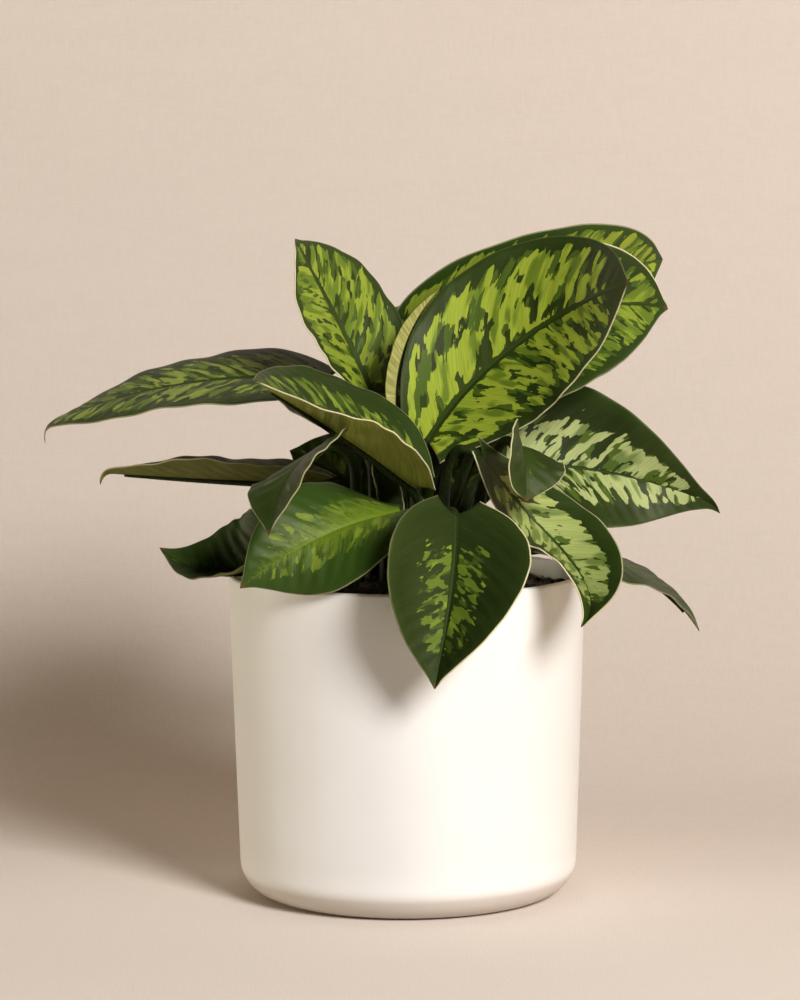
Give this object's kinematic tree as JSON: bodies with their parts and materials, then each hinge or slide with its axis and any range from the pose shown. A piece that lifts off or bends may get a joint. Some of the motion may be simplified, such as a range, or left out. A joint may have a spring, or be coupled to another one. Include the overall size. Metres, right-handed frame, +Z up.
{
  "type": "potted homalomena plant",
  "caption": "Round tapered cover pot filled with potting mix, holding a spreading rosette of broad pointed leaves with dark and lime marbling.",
  "frame": {"origin": "centre of the pot's flat base, on the pot's axis", "axes": "+Z up along the pot's axis; -Y towards the side seen in the picture, where one leaf hangs over the rim; +X to the right of that view"},
  "size_m": [0.2668, 0.2353, 0.2618],
  "materials": {
    "pot": "matte",
    "soil": "rough",
    "leaf_bright": "satin",
    "leaf_dark": "satin",
    "leaf_silver": "satin",
    "young_leaf": "satin"
  },
  "bodies": {
    "root": {"pot": "pot", "soil": "soil", "leaf_big": "leaf_bright", "leaf_behind": "leaf_bright", "leaf_right_high": "leaf_bright", "leaf_upright": "leaf_bright", "leaf_curled_left": "leaf_bright", "leaf_low_left": "leaf_bright", "leaf_front": "leaf_bright", "leaf_back_high": "leaf_bright", "leaf_back_left": "leaf_bright", "leaf_back_right": "leaf_bright", "leaf_back_low_left": "leaf_bright", "leaf_back_low_right": "leaf_bright", "leaf_silver": "leaf_silver", "leaf_low_right": "leaf_silver", "leaf_small_right": "leaf_dark", "leaf_thin_right": "leaf_dark", "leaf_small_left": "leaf_dark", "leaf_dark_left": "leaf_dark", "leaf_keeled_left": "leaf_dark", "leaf_far_left": "leaf_dark", "leaf_inner_left": "leaf_dark", "leaf_young": "young_leaf"}
  },
  "joints": []
}
